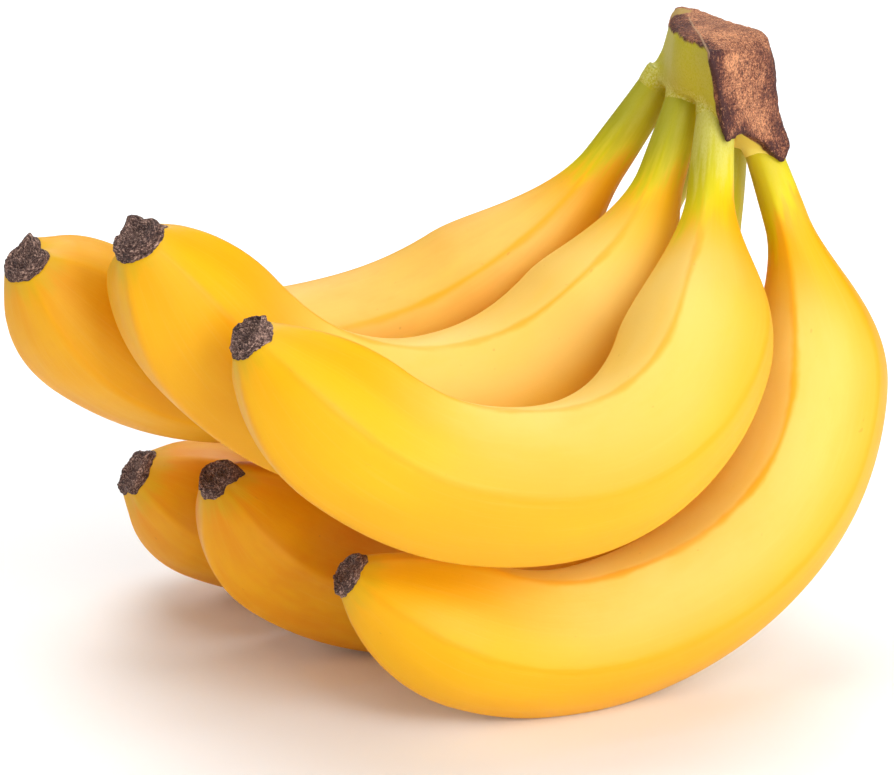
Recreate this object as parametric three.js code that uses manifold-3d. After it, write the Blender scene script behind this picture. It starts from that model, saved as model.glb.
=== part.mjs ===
// A bunch of six ripe bananas in two rows of three, joined at one cut and dried crown.
// Millimetres, +Z up. +X runs from the flower ends towards the crown, and -Y is the front.
// The bunch lies on the three bananas of its lower row, and the origin is under its middle.
import * as THREE from 'three';
import { NURBSCurve } from 'three/addons/curves/NURBSCurve.js';
import Module from 'manifold-3d';

const wasm = await Module();
wasm.setup();

// Shape that all six bananas share
const flowerEnd = { length: 2.2, bevel: 0.8, end: 0.8 }; // dried stub, whose end is narrower by a bevel
const tip = { length: 38, fullness: 2.2 }; // from the stub to the full girth
const stalk = { length: 27, thin: 0.25, widening: 0.003 }; // the bare stalk, as shares of the girth
const shoulder = { start: 20, end: 63 }; // from the crown, where the stalk swells into the body
const ridges = { count: 5, sharpness: 0.4, mean: 0.87, fade: 12 }; // 0 is a round section, 1 is a pentagon
const sides = 20;
// Places of the cross-sections, close together at both ends: from the flower end, and from the root
const sections = {
  tip: [0, 0.8, 2.2, 4, 7, 11, 16, 22, 30, 39], bodySteps: 8, neck: [66, 58, 51, 45, 39, 33, 26, 18, 9, 0],
};
const socketDepth = 4; // how far a stalk runs into the crown
const clearance = 0.3; // between the crown and the stalks

// Each banana follows a smooth curve from the end of its flower stub to its root in the crown.
// route: the curve's control points. radius: half the girth. nub: the radius of the dried stub.
// neck: the length of the bare stalk. blunt: under 1 for a blunter tip. roll and twist: degrees that
// the five ridges are turned by.
const bananas = {
  banana_upper_front: {
    radius: 18.2, nub: 5.2, neck: 28, blunt: 0.9, roll: 46, twist: 17,
    route: [
      [-44.7, -62, 106.6], [-20.5, -52, 72], [14, -51, 62], [43, -45, 70],
      [60, -31, 88], [61, -2, 104], [64, 22, 136],
    ],
  },
  banana_upper_middle: {
    radius: 18.6, nub: 6.4, neck: 26, blunt: 0.88, roll: 26, twist: 36,
    route: [
      [-70.6, -38, 121.7], [-52, -22, 84.5], [-26, -15, 68], [3, -6, 67],
      [30, 3, 78], [48, 14, 101], [58, 32, 137],
    ],
  },
  banana_upper_back: {
    radius: 18.6, nub: 6, neck: 30, blunt: 0.85, roll: 36, twist: 0,
    route: [
      [-98.5, -13, 109], [-82.5, 2, 82.5], [-60, 16, 67], [-28, 28, 68],
      [4, 34, 77], [30, 38, 99], [53, 42, 137],
    ],
  },
  banana_lower_front: {
    radius: 17.5, nub: 5.4, neck: 25, blunt: 0.92, roll: 42, twist: 18,
    route: [
      [-23.7, -41, 40.8], [8, -33, 15], [45, -19, 15], [75, -6, 32],
      [91, 4, 58], [90, 15, 87], [74, 28, 126],
    ],
  },
  banana_lower_middle: {
    radius: 17.8, nub: 5.2, neck: 34, blunt: 0.75, roll: 20, twist: 0,
    route: [
      [-55.6, -3, 50], [-42.8, 9, 24.5], [-13, 11, 14], [17, 12, 18],
      [45, 14, 38], [63.6, 22.4, 72.5], [69, 38, 127],
    ],
  },
  banana_lower_back: {
    radius: 17.4, nub: 6.8, neck: 35, blunt: 0.62, roll: 20, twist: 0,
    route: [
      [-79, 35, 36.5], [-51, 42, 15], [-17, 49, 15], [9, 54, 33],
      [30, 55, 57], [48, 51, 90], [64, 48, 127],
    ],
  },
};

// The crown is a bent block, thick at its front end. Its own axes are across, away from the upper
// row of stalks, along, from the front of the bunch to its back, and up. Each ring of points goes
// round it from the top edge over the upper row, over the top and down the cut back.
const crown = {
  middle: new THREE.Vector3(64, 33, 128),
  heading: THREE.MathUtils.degToRad(34.5), // of the across axis, from +X towards +Y
  rings: [
    [ // front end, with two dried points that hang over the front stalks
      [-15.5, -17.5, 22.5], [-7, -17.5, 21.5], [2.5, -17.5, 19.5], [4.5, -17.5, 12], [6, -18, 4],
      [9, -18.5, -3.5], [6.5, -19, -7.5], [0.5, -18.5, -1.5], [-6.5, -19.5, 2], [-12, -20.5, 1],
      [-13.5, -19, 8], [-14.5, -18, 16],
    ],
    [ // over the front stalks
      [-13.5, -11, 23], [-5, -11, 25], [6, -11, 22.5], [9, -11, 15], [10, -11, 4], [12, -11, -4],
      [9, -11, -8], [1.5, -11, -5], [-3, -11, 0.5], [-8, -11, 5.5], [-12.5, -11, 9], [-14, -11, 16],
    ],
    [ // over the middle stalks
      [-11.5, 0, 22.5], [-4, 0, 24], [6, 0, 22.5], [9, 0, 14], [12, 0, 4], [13, 0, -4],
      [9.5, 0, -8], [2, 0, -6.5], [-1.5, 0, -1], [-6, 0, 5], [-12, 0, 9], [-13, 0, 15],
    ],
    [ // back end, narrower
      [-1, 17, 22], [2, 17.5, 23.5], [8, 17, 22], [12, 16, 13], [14, 16, 3], [13, 16, -5],
      [10, 16, -8], [5, 16, -6], [1, 16, -1], [-2, 16, 4], [-7, 16.5, 8], [-3.5, 17, 14],
    ],
  ],
  steps: 4, // slices between two rings
  cornerPoints: 2, // mesh points for each point of a ring
  tension: 0.35, // of the outline round each ring: less is straighter
  endRounding: 2.5, // how far the back end bulges
  endShrink: 0.3, // how much narrower the bulge's flat end is
};

const peel = { colour: 0xf7c534, roughness: 0.45 };
const driedCrown = { colour: 0x7d5340, roughness: 0.85 };

// Share of a regular pentagon's corner radius at an angle from a corner
function pentagon(angle) {
  const sector = (2 * Math.PI) / ridges.count;
  const offset = THREE.MathUtils.euclideanModulo(angle, sector) - sector / 2;
  return Math.cos(sector / 2) / Math.cos(offset);
}

// Share of the full radius at a place along a banana, from the flower end
function girthShare(banana, place, length) {
  const nubShare = banana.nub / banana.radius;
  const bevel = THREE.MathUtils.lerp(flowerEnd.end, 1, Math.min(1, place / flowerEnd.bevel));
  const fromStub = (place - flowerEnd.length) / (tip.length * banana.blunt);
  const toCrown = Math.max(0, length - socketDepth - place) * (stalk.length / banana.neck);
  const stalkShare = stalk.thin + stalk.widening * toCrown;
  const swell = THREE.MathUtils.smoothstep(toCrown, shoulder.start, shoulder.end);
  const neckShare = stalkShare + (1 - stalkShare) * swell;
  const left = 1 - THREE.MathUtils.clamp(fromStub, 0, 1);
  const tipShare = nubShare + (1 - nubShare) * (1 - left ** tip.fullness);
  return Math.min(bevel * tipShare, neckShare);
}

// How strongly the ridges show: less on the stub, and less on the stalk
function ridgeShare(place, length) {
  const onTip = THREE.MathUtils.smoothstep(place, 0, ridges.fade);
  const onStalk = THREE.MathUtils.smoothstep(length - place, 0, shoulder.start);
  return ridges.sharpness * onTip * onStalk;
}

function sectionPlaces(length) {
  const neckPlaces = sections.neck.map((back) => length - back);
  const bodyPlaces = [];
  for (let step = 1; step < sections.bodySteps; step += 1) {
    bodyPlaces.push(THREE.MathUtils.lerp(sections.tip.at(-1), neckPlaces[0], step / sections.bodySteps));
  }
  return [...sections.tip, ...bodyPlaces, ...neckPlaces];
}

function bananaCurve(banana) {
  const degree = 3;
  const spans = banana.route.length - degree;
  const knots = [];
  for (let index = 0; index <= banana.route.length + degree; index += 1) {
    knots.push(THREE.MathUtils.clamp(index - degree, 0, spans));
  }
  const points = banana.route.map(([x, y, z]) => new THREE.Vector4(x, y, z, 1));
  return new NURBSCurve(degree, knots, points);
}

// Rings of points that bend with the banana. The first point of each ring lies towards the inside
// of the bend, turned by the roll. grow makes the whole banana fatter, for cutting its socket.
function bananaRings(banana, grow) {
  const curve = bananaCurve(banana);
  const length = curve.getLength();
  const start = curve.getPointAt(0);
  const middle = curve.getPointAt(0.5);
  const end = curve.getPointAt(1);
  const bendAxis = middle.clone().sub(start).cross(end.clone().sub(start)).normalize();
  const chordMiddle = start.clone().add(end).multiplyScalar(0.5);
  const places = sectionPlaces(length);
  return places.map((place, index) => {
    const share = place / length;
    const centre = curve.getPointAt(share);
    const forward = curve.getTangentAt(share);
    const inner = forward.clone().cross(bendAxis).normalize();
    if (inner.dot(chordMiddle.clone().sub(middle)) < 0) inner.negate();
    const side = forward.clone().cross(inner);
    if (index === places.length - 1) centre.addScaledVector(forward, grow);
    const radius = banana.radius * girthShare(banana, place, length);
    const turn = THREE.MathUtils.degToRad(banana.roll + banana.twist * (share - 0.5));
    const ring = [];
    for (let step = 0; step < sides; step += 1) {
      const angle = (step / sides) * 2 * Math.PI;
      const ridge = 1 + ridgeShare(place, length) * (pentagon(angle) / ridges.mean - 1);
      const reach = radius * ridge + grow;
      ring.push(centre.clone()
        .addScaledVector(inner, Math.cos(angle + turn) * reach)
        .addScaledVector(side, Math.sin(angle + turn) * reach));
    }
    return ring;
  });
}

// Closed skin over a row of rings, each with the same number of points, and a flat cap at each end
function skin(rings) {
  const count = rings[0].length;
  const points = rings.flat();
  const triangles = [];
  for (let ring = 0; ring < rings.length - 1; ring += 1) {
    for (let step = 0; step < count; step += 1) {
      const next = (step + 1) % count;
      const here = ring * count;
      const ahead = here + count;
      triangles.push(here + step, here + next, ahead + next);
      triangles.push(here + step, ahead + next, ahead + step);
    }
  }
  for (const ring of [0, rings.length - 1]) {
    const centre = new THREE.Vector3();
    for (const point of rings[ring]) centre.addScaledVector(point, 1 / count);
    const hub = points.push(centre) - 1;
    for (let step = 0; step < count; step += 1) {
      const here = ring * count + step;
      const next = ring * count + ((step + 1) % count);
      if (ring === 0) triangles.push(hub, next, here);
      else triangles.push(hub, here, next);
    }
  }
  return { points, triangles };
}

function solidFrom({ points, triangles }) {
  const vertProperties = new Float32Array(points.flatMap((point) => point.toArray()));
  const triVerts = new Uint32Array(triangles);
  return new wasm.Manifold(new wasm.Mesh({ numProp: 3, vertProperties, triVerts }));
}

function meshFrom(name, solid, finish) {
  const { vertProperties, triVerts } = solid.getMesh();
  const geometry = new THREE.BufferGeometry();
  geometry.setAttribute('position', new THREE.BufferAttribute(new Float32Array(vertProperties), 3));
  geometry.setIndex(new THREE.BufferAttribute(new Uint32Array(triVerts), 1));
  geometry.computeVertexNormals();
  const material = new THREE.MeshStandardMaterial({
    color: finish.colour, roughness: finish.roughness, metalness: 0,
  });
  const mesh = new THREE.Mesh(geometry, material);
  mesh.name = name;
  return mesh;
}

// Everything below the surface that the bunch lies on, which flattens the undersides a little
function belowSurface() {
  const half = 150;
  const depth = 20;
  const corners = [[-half, -half], [half, -half], [half, half], [-half, half]];
  const bottom = corners.map(([x, y]) => new THREE.Vector3(x, y, -depth));
  const top = corners.map(([x, y]) => new THREE.Vector3(x, y, 0));
  return solidFrom(skin([bottom, top]));
}

function bananaSolid(banana) {
  return solidFrom(skin(bananaRings(banana, 0))).subtract(belowSurface());
}

function crownSolid() {
  const across = new THREE.Vector3(Math.cos(crown.heading), Math.sin(crown.heading), 0);
  const along = new THREE.Vector3(-Math.sin(crown.heading), Math.cos(crown.heading), 0);
  const place = ([a, b, c]) => crown.middle.clone()
    .addScaledVector(across, a)
    .addScaledVector(along, b)
    .add(new THREE.Vector3(0, 0, c));
  const corners = crown.rings.map((ring) => ring.map(place));
  const slices = [];
  const sliceCount = crown.steps * (corners.length - 1);
  const ringSize = corners[0].length;
  for (let slice = 0; slice <= sliceCount; slice += 1) {
    const ring = [];
    for (let corner = 0; corner < ringSize; corner += 1) {
      const rail = new THREE.CatmullRomCurve3(corners.map((points) => points[corner]));
      ring.push(rail.getPoint(slice / sliceCount));
    }
    const outline = new THREE.CatmullRomCurve3(ring, true, 'catmullrom', crown.tension);
    slices.push(outline.getPoints(ringSize * crown.cornerPoints).slice(0, -1));
  }
  const last = slices.at(-1);
  const centre = new THREE.Vector3();
  for (const point of last) centre.addScaledVector(point, 1 / last.length);
  slices.push(last.map((point) => (
    point.clone().lerp(centre, crown.endShrink).addScaledVector(along, crown.endRounding)
  )));
  let solid = solidFrom(skin(slices));
  for (const banana of Object.values(bananas)) {
    solid = solid.subtract(solidFrom(skin(bananaRings(banana, clearance))));
  }
  return solid;
}

const bunch = new THREE.Group();
for (const [name, banana] of Object.entries(bananas)) {
  bunch.add(meshFrom(name, bananaSolid(banana), peel));
}
bunch.add(meshFrom('crown', crownSolid(), driedCrown));

export default bunch;
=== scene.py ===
import math

import bpy
import numpy as np
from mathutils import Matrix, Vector, noise


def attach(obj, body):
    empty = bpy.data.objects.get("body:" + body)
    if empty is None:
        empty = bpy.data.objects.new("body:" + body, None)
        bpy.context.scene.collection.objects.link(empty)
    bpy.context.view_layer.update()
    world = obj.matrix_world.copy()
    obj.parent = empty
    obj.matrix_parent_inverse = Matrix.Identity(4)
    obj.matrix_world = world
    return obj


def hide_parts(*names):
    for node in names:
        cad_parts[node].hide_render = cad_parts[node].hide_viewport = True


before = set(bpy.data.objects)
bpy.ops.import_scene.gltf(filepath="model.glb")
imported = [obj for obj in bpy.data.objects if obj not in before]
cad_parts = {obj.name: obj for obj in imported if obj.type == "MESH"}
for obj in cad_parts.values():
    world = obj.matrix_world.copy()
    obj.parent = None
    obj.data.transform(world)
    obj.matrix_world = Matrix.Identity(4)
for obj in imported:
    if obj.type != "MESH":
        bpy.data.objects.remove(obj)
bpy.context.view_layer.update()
mm = 0.001
print("solids loaded:", ", ".join(sorted(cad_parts)))


# small helpers for curves and numbers

def smoothStep(value, low, high):
    share = np.clip((value - low) / (high - low), 0, 1)
    return share * share * (3 - 2 * share)


def unit(vectors):
    return vectors / np.linalg.norm(vectors, axis=-1, keepdims=True)


def splinePoints(route, count):
    # cubic B-spline that starts and ends on the first and last control point
    degree = 3
    spans = len(route) - degree
    knots = np.clip(np.arange(len(route) + degree + 1) - degree, 0, spans).astype(float)
    at = np.linspace(0, spans - 1e-9, count)
    weights = [((at >= knots[i]) & (at < knots[i + 1])).astype(float) for i in range(len(knots) - 1)]
    for order in range(1, degree + 1):
        raised = []
        for i in range(len(knots) - order - 1):
            total = np.zeros(count)
            rise = knots[i + order] - knots[i]
            fall = knots[i + order + 1] - knots[i + 1]
            if rise > 0:
                total += (at - knots[i]) / rise * weights[i]
            if fall > 0:
                total += (knots[i + order + 1] - at) / fall * weights[i + 1]
            raised.append(total)
        weights = raised
    return np.stack(weights, axis=1) @ np.array(route, float)


def catmullPoint(points, share, closed, tension=0.5):
    # uniform Catmull-Rom curve through the points, share runs from 0 to 1
    count = len(points)
    spans = count if closed else count - 1
    place = min(share * spans, spans - 1e-9)
    index = int(place)
    t = place - index
    if closed:
        before, here, ahead, after = (points[(index + step) % count] for step in (-1, 0, 1, 2))
    else:
        here, ahead = points[index], points[index + 1]
        before = points[index - 1] if index > 0 else 2 * here - ahead
        after = points[index + 2] if index + 2 < count else 2 * ahead - here
    slopeHere, slopeAhead = tension * (ahead - before), tension * (after - here)
    return ((2 * here - 2 * ahead + slopeHere + slopeAhead) * t ** 3
            + (-3 * here + 3 * ahead - 2 * slopeHere - slopeAhead) * t ** 2 + slopeHere * t + here)


def evenAngles(count):
    return np.arange(count) / count * 2 * math.pi


def roughNoise(point, size, layers=3):
    # fractal noise of about -1 to 1, at a grain size in millimetres
    weakening, refining = 0.6, 2.0  # of each layer after the first
    return noise.fractal(Vector(point) / size, weakening, refining, layers)


# small helpers for meshes and shader nodes

def gridMesh(name, rings, facts):
    # closed skin over rings of points in mm, with a fan at both ends
    ringCount, sideCount = rings.shape[:2]
    points = np.concatenate([rings.reshape(-1, 3), [rings[0].mean(0)], [rings[-1].mean(0)]]) * mm
    faces = []
    for ring in range(ringCount - 1):
        for side in range(sideCount):
            here = ring * sideCount + side
            beside = ring * sideCount + (side + 1) % sideCount
            faces.append((here, beside, beside + sideCount, here + sideCount))
    firstHub = ringCount * sideCount
    for side in range(sideCount):
        beside = (side + 1) % sideCount
        faces.append((firstHub, beside, side))
        faces.append((firstHub + 1, firstHub - sideCount + side, firstHub - sideCount + beside))
    mesh = bpy.data.meshes.new(name)
    mesh.from_pydata(points.tolist(), [], faces)
    for factName, values in facts.items():
        flat = values.reshape(ringCount * sideCount, -1)
        ends = values.reshape(ringCount, sideCount, -1)[[0, -1]].mean(1)
        storeFact(mesh, factName, np.concatenate([flat, ends]))
    return pieceFrom(name, mesh)


def storeFact(mesh, name, values):
    # keeps a number or a vector for each point, which the materials read
    isVector = values.ndim > 1 and values.shape[1] == 3
    fact = mesh.attributes.new(name, "FLOAT_VECTOR" if isVector else "FLOAT", "POINT")
    fact.data.foreach_set("vector" if isVector else "value", values.astype(np.float32).ravel())


def pieceFrom(name, mesh):
    mesh.validate()
    mesh.polygons.foreach_set("use_smooth", [True] * len(mesh.polygons))
    piece = bpy.data.objects.new(name, mesh)
    bpy.context.scene.collection.objects.link(piece)
    return piece


def addNode(tree, kind, **settings):
    node = tree.nodes.new("ShaderNode" + kind)
    for key, value in settings.items():
        setattr(node, key, value)
    return node


def feed(tree, socket, value):
    # links a socket to another one, or sets it to a plain value
    if isinstance(value, bpy.types.NodeSocket):
        tree.links.new(value, socket)
    else:
        socket.default_value = value


def calc(tree, operation, *values, clamp=False):
    node = addNode(tree, "Math", operation=operation, use_clamp=clamp)
    for socket, value in zip(node.inputs, values):
        feed(tree, socket, value)
    return node.outputs[0]


def plus(tree, first, second):
    return calc(tree, "ADD", first, second)


def times(tree, first, second, clamp=False):
    return calc(tree, "MULTIPLY", first, second, clamp=clamp)


def fade(tree, value, low, high, atLow=0.0, atHigh=1.0):
    # smooth change of a value from atLow to atHigh
    node = addNode(tree, "MapRange", interpolation_type="SMOOTHSTEP")
    for socket, number in zip(node.inputs, (value, low, high, atLow, atHigh)):
        feed(tree, socket, number)
    return node.outputs[0]


mixSockets = {"RGBA": (6, 7, 2), "FLOAT": (2, 3, 0)}  # a Mix node's two inputs and its result


def blend(tree, share, first, second, kind="RGBA"):
    # mix of two colours, or of two numbers where the kind is FLOAT
    node = addNode(tree, "Mix", data_type=kind)
    firstSocket, secondSocket, result = mixSockets[kind]
    feed(tree, node.inputs[0], share)
    feed(tree, node.inputs[firstSocket], first)
    feed(tree, node.inputs[secondSocket], second)
    return node.outputs[result]


def grain(tree, place, stretch, detail, rough):
    # noise of 0 to 1 whose grain is stretch mm long on each axis
    scaled = addNode(tree, "VectorMath", operation="DIVIDE")
    feed(tree, scaled.inputs[0], place)
    feed(tree, scaled.inputs[1], stretch)
    node = addNode(tree, "TexNoise")
    feed(tree, node.inputs["Vector"], scaled.outputs[0])
    node.inputs["Scale"].default_value = 1.0
    node.inputs["Detail"].default_value = detail
    node.inputs["Roughness"].default_value = rough
    return node.outputs["Fac"]


def facing(tree, place, side):
    # -1 to 1: how far a place on the skin lies towards a side of the banana
    towards = addNode(tree, "VectorMath", operation="DOT_PRODUCT")
    feed(tree, towards.inputs[0], place)
    feed(tree, towards.inputs[1], side)
    return towards.outputs["Value"]


def shaderGroup(name, inputs, outputs):
    # empty node group with named sockets, and its two end nodes
    group = bpy.data.node_groups.new(name, "ShaderNodeTree")
    for socketName, kind, start in inputs:
        socket = group.interface.new_socket(socketName, in_out="INPUT", socket_type="NodeSocket" + kind)
        if start is not None:
            socket.default_value = start
    for socketName, kind in outputs:
        group.interface.new_socket(socketName, in_out="OUTPUT", socket_type="NodeSocket" + kind)
    return group, group.nodes.new("NodeGroupInput").outputs, group.nodes.new("NodeGroupOutput").inputs


def useGroup(tree, group, **values):
    node = addNode(tree, "Group")
    node.node_tree = group
    for key, value in values.items():
        feed(tree, node.inputs[key], value)
    return node.outputs


def srgb(red, green, blue):
    # display colour of 0 to 255 as the linear colour that shaders use
    channels = [c / 255 for c in (red, green, blue)]
    return (*[c / 12.92 if c <= 0.04045 else ((c + 0.055) / 1.055) ** 2.4 for c in channels], 1.0)


def fact(tree, name, output="Fac"):
    node = addNode(tree, "Attribute", attribute_name=name)
    return node.outputs[output]


# camera in front of the bunch, looking down at it, in mm and degrees

view = {
    "elevation": 20, "distance": 900, "target": (0, -20, 78.24), "lens": 155.84, "sensor": 36,
    "near": 0.05, "far": 20,  # limits of what the camera sees, in m
}


def makeCamera():
    elevation = math.radians(view["elevation"])
    away = Vector((0, -math.cos(elevation), math.sin(elevation)))
    camera = bpy.data.objects.new("camera", bpy.data.cameras.new("camera"))
    camera.location = (Vector(view["target"]) + view["distance"] * away) * mm
    camera.rotation_euler = (math.radians(90 - view["elevation"]), 0, 0)
    camera.data.sensor_width = view["sensor"]
    camera.data.lens = view["lens"]
    camera.data.clip_start = view["near"]
    camera.data.clip_end = view["far"]
    bpy.context.scene.collection.objects.link(camera)
    bpy.context.scene.camera = camera


makeCamera()
print("camera placed")


# the six bananas: routes, girths and ridges, in mm

form = {
    "linePoints": 1600,
    "nubLength": 2.2, "nubBevel": 0.8, "nubEnd": 0.8,  # dried flower end, narrower at its end face
    "tipLength": 38, "tipFullness": 2.2,
    "stalkLength": 27, "stalkThin": 0.25, "stalkWidening": 0.003,
    "shoulderStart": 20, "shoulderEnd": 63,  # mm from the crown
    "ridgeCount": 5, "ridgeSharpness": 0.4, "ridgeMean": 0.87, "ridgeFade": 12,
    "ridgeOnTip": 0.12, "ridgeOnTipSpan": (75, 30),  # how much sharper the ridges get towards the tip
    "ridgeRounding": 2.5,  # degrees
    "socketDepth": 4,
    "fit": 0.99,  # keeps the smooth peel inside the solid's flat sides
    "flatten": 0.35, "flattenReach": 3,  # softness and height of the flat spots underneath
}

# horns and hems shape the dried end, each with an angle from the first ridge, a size in mm and a width:
# horns stand out from its end face, and hems lengthen or shorten its edge on the peel.
# end: mm from the tip to that face.
# greenSide: the angle, from the first ridge, of the stalk's greenest side.
# The last number of each banana is painted shade: deeper orange blotches, most on the back and lower
# bananas, which sit in shade.
bananas = {
    "banana_upper_front": {
        "radius": 18.2, "nub": 5.2, "neck": 28, "blunt": 0.9, "roll": 46, "twist": 17, "seed": 3,
        "route": [(-44.7, -62, 106.6), (-20.5, -52, 72), (14, -51, 62), (43, -45, 70),
                  (60, -31, 88), (61, -2, 104), (64, 22, 136)],
        "end": 0.9, "horns": [(256, 1.7, 13), (300, 1.2, 28), (346, 0.9, 12), (205, -0.9, 26)],
        "hems": [(45, 0.7, 30)],
        "green": 0.6, "greenReach": 34, "greenSide": -70, "bloom": 0.55, "paintedShade": 0.15,
    },
    "banana_upper_middle": {
        "radius": 18.6, "nub": 6.4, "neck": 26, "blunt": 0.88, "roll": 26, "twist": 36, "seed": 11,
        "route": [(-70.6, -38, 121.7), (-52, -22, 84.5), (-26, -15, 68), (3, -6, 67),
                  (30, 3, 78), (48, 14, 101), (58, 32, 137)],
        "end": 0, "horns": [(292, 1.2, 12), (240, -2.9, 34), (336, -1.6, 24), (192, -0.6, 22)],
        "hems": [(5, 1.4, 9)],
        "green": 0.75, "greenReach": 27, "greenSide": -60, "bloom": 0.1, "paintedShade": 0.25,
    },
    "banana_upper_back": {
        "radius": 18.6, "nub": 6, "neck": 30, "blunt": 0.85, "roll": 36, "twist": 0, "seed": 19,
        "route": [(-98.5, -13, 109), (-82.5, 2, 82.5), (-60, 16, 67), (-28, 28, 68),
                  (4, 34, 77), (30, 38, 99), (53, 42, 137)],
        "end": 1.6, "horns": [(263, 1.6, 11), (322, -2.6, 30), (235, -0.7, 16), (12, 0.5, 12)],
        "hems": [(318, -1.0, 32)],
        "green": 0.75, "greenReach": 29, "greenSide": -70, "bloom": 0.1, "paintedShade": 0.6,
    },
    "banana_lower_front": {
        "radius": 17.5, "nub": 5.4, "neck": 25, "blunt": 0.92, "roll": 42, "twist": 18, "seed": 27,
        "route": [(-23.7, -41, 40.8), (8, -33, 15), (45, -19, 15), (75, -6, 32),
                  (91, 4, 58), (90, 15, 87), (74, 28, 126)],
        "end": 0.4, "horns": [(190, -1.0, 36), (350, 0.5, 12), (135, 0.7, 11), (35, -0.6, 18)],
        "hems": [(62, -1.2, 50)],
        "green": 0.25, "greenReach": 24, "greenSide": -90, "bloom": 0.1, "paintedShade": 0.1,
    },
    "banana_lower_middle": {
        "radius": 17.8, "nub": 5.2, "neck": 34, "blunt": 0.75, "roll": 20, "twist": 0, "seed": 35,
        "route": [(-55.6, -3, 50), (-42.8, 9, 24.5), (-13, 11, 14), (17, 12, 18),
                  (45, 14, 38), (63.6, 22.4, 72.5), (69, 38, 127)],
        "end": 0.2, "horns": [(2, 0.3, 14), (288, -0.5, 20), (190, -0.7, 26), (60, -0.8, 20),
                              (105, 0.5, 13)],
        "hems": [(2, 0.9, 12), (55, -1.3, 22)],
        "green": 0.7, "greenReach": 40, "greenSide": 0, "bloom": 0.3, "paintedShade": 1,
    },
    "banana_lower_back": {
        "radius": 17.4, "nub": 6.8, "neck": 35, "blunt": 0.62, "roll": 20, "twist": 0, "seed": 43,
        "route": [(-79, 35, 36.5), (-51, 42, 15), (-17, 49, 15), (9, 54, 33),
                  (30, 55, 57), (48, 51, 90), (64, 48, 127)],
        "end": 0.8, "horns": [(262, 1.0, 10), (303, -0.9, 18), (126, -1.5, 26), (350, 0.4, 12)],
        "hems": [(20, -0.6, 40), (125, -0.8, 30)],
        "green": 0.7, "greenReach": 40, "greenSide": 0, "bloom": 0.3, "paintedShade": 1,
    },
}

peelSkin = {
    "sides": 120, "tipStep": 0.6, "tipEnd": 42, "bodyStep": 1.4,
    "start": 1.2, "tuck": 0.8, "tuckSpan": (0.1, 0.8),  # the peel's edge lies under the dried end
    "wave": 0.22, "waveSize": 26, "waveStretch": 2, "waveMean": 0.3, "noiseGap": 97,  # soft dents
    "waveFromTip": (8, 30), "waveToStalk": (10, 40),  # mm over which the dents begin and end
}


def bananaLine(banana):
    # middle line with its own axes at even steps along it
    points = splinePoints(banana["route"], form["linePoints"])
    steps = np.linalg.norm(np.diff(points, axis=0), axis=1)
    places = np.concatenate([[0], np.cumsum(steps)])
    length = places[-1]
    middle = np.array([np.interp(length / 2, places, points[:, axis]) for axis in range(3)])
    chord = points[-1] - points[0]
    bendAxis = unit(np.cross(middle - points[0], chord))
    forward = unit(np.gradient(points, places, axis=0))
    inner = unit(np.cross(forward, bendAxis))
    inner *= np.sign(inner @ ((points[0] + points[-1]) / 2 - middle))[:, None]
    return {
        "places": places, "length": length, "points": points,
        "forward": forward, "inner": inner, "side": np.cross(forward, inner),
    }


def alongLine(line, key, places):
    columns = [np.interp(places, line["places"], line[key][:, axis]) for axis in range(3)]
    return np.stack(columns, axis=-1)


def girthShare(banana, place, length):
    # share of the full radius: dried end, tapered tip, body, shoulder and bare stalk
    nubShare = banana["nub"] / banana["radius"]
    bevel = form["nubEnd"] + (1 - form["nubEnd"]) * np.clip(place / form["nubBevel"], 0, 1)
    left = 1 - np.clip((place - form["nubLength"]) / (form["tipLength"] * banana["blunt"]), 0, 1)
    tipShare = nubShare + (1 - nubShare) * (1 - left ** form["tipFullness"])
    toCrown = np.maximum(0, length - form["socketDepth"] - place) * form["stalkLength"] / banana["neck"]
    stalkShare = form["stalkThin"] + form["stalkWidening"] * toCrown
    shoulder = smoothStep(toCrown, form["shoulderStart"], form["shoulderEnd"])
    return np.minimum(bevel * tipShare, stalkShare + (1 - stalkShare) * shoulder)


def fromRidge(angle):
    # angle to the nearest of the five ridges
    sector = 2 * math.pi / form["ridgeCount"]
    offset = np.mod(angle, sector)
    return np.minimum(offset, sector - offset)


def ridgeShape(angle, place, length):
    half = math.pi / form["ridgeCount"]
    rounded = np.sqrt(fromRidge(angle) ** 2 + math.radians(form["ridgeRounding"]) ** 2)
    pentagon = math.cos(half) / np.cos(half - rounded)
    onTip = smoothStep(place, 0, form["ridgeFade"])
    onStalk = smoothStep(length - place, 0, form["shoulderStart"])
    sharpness = form["ridgeSharpness"] + form["ridgeOnTip"] * smoothStep(place, *form["ridgeOnTipSpan"])
    return 1 + sharpness * onTip * onStalk * (pentagon / form["ridgeMean"] - 1)


def aroundLine(banana, line, place, angle, reach):
    # points at a distance of reach mm from the middle line, on the side that the angle gives
    turn = angle + np.radians(banana["roll"] + banana["twist"] * (place / line["length"] - 0.5))
    out = np.cos(turn)[..., None] * alongLine(line, "inner", place)
    out = out + np.sin(turn)[..., None] * alongLine(line, "side", place)
    return alongLine(line, "points", place) + out * reach[..., None]


def bareRadius(banana, place, length):
    # mm from the middle line to the peel, before the ridges
    return banana["radius"] * form["fit"] * girthShare(banana, place, length)


def skinPoints(banana, line, place, angle, lift):
    # points on the peel: place is mm from the flower end, angle starts at a ridge
    length = line["length"]
    radius = bareRadius(banana, place, length) * ridgeShape(angle, place, length)
    points = aroundLine(banana, line, place, angle, radius + lift)
    up = points[..., 2]
    flattened = (up + np.sqrt(up ** 2 + form["flatten"] ** 2)) / 2
    points[..., 2] = np.where(up < form["flattenReach"], flattened, up)
    return points


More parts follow.
